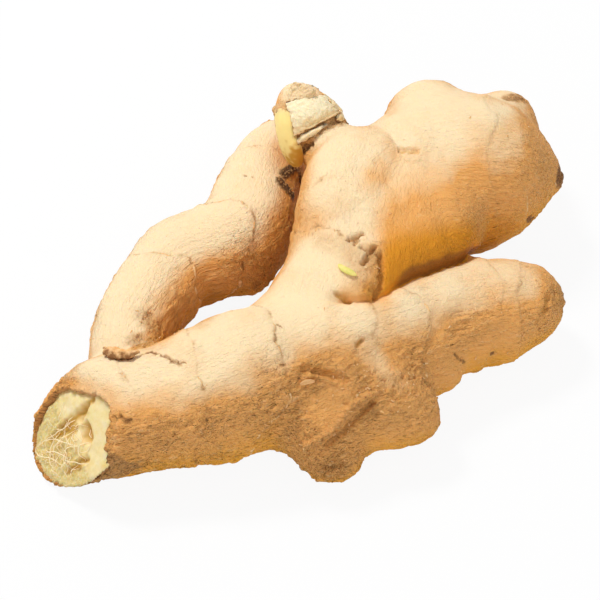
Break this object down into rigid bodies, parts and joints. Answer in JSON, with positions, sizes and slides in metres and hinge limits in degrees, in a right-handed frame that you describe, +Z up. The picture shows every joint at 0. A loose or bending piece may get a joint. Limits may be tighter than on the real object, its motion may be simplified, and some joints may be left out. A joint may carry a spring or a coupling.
{
  "type": "ginger root",
  "caption": "Knobbly branching hand of fresh ginger with ring scars, a scaly bud and a snapped fibrous end; lies on a flat surface.",
  "frame": {"origin": "on the surface the hand lies on, under the middle of its bounding box", "axes": "+X along the front finger from the snapped end to its tip, +Y the way the other fingers grow, +Z up"},
  "size_m": [0.1529, 0.1308, 0.0482],
  "materials": {
    "ginger_rhizome": "dry papery tan skin over pale yellow flesh"
  },
  "bodies": {
    "root": {"ginger_rhizome": "ginger_rhizome"}
  },
  "joints": []
}
